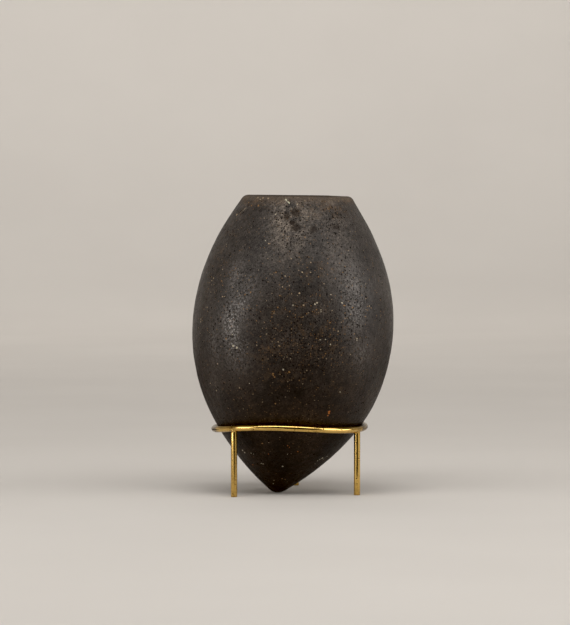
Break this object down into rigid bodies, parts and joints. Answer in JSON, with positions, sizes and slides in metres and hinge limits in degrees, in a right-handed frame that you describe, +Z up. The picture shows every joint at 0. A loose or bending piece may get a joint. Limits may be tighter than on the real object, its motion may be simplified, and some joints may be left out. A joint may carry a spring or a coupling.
{
  "type": "pointed-base jar",
  "caption": "Hollow burnished clay jar with a pointed base and a plain rounded lip, held upright in a ring of brass rod on straight legs.",
  "frame": {"origin": "on the surface that the stand's feet stand on, straight under the centre of the jar's belly", "axes": "+Z up; -Y towards the front, where the two front legs are; +X to the right, seen from the front"},
  "size_m": [0.1022, 0.1022, 0.1513],
  "materials": {
    "burnished_clay": "satin",
    "brass_rod": "polished"
  },
  "bodies": {
    "root": {"jar": "burnished_clay", "stand_ring": "brass_rod", "leg_front_left": "brass_rod", "leg_front_right": "brass_rod", "leg_back": "brass_rod"}
  },
  "joints": []
}
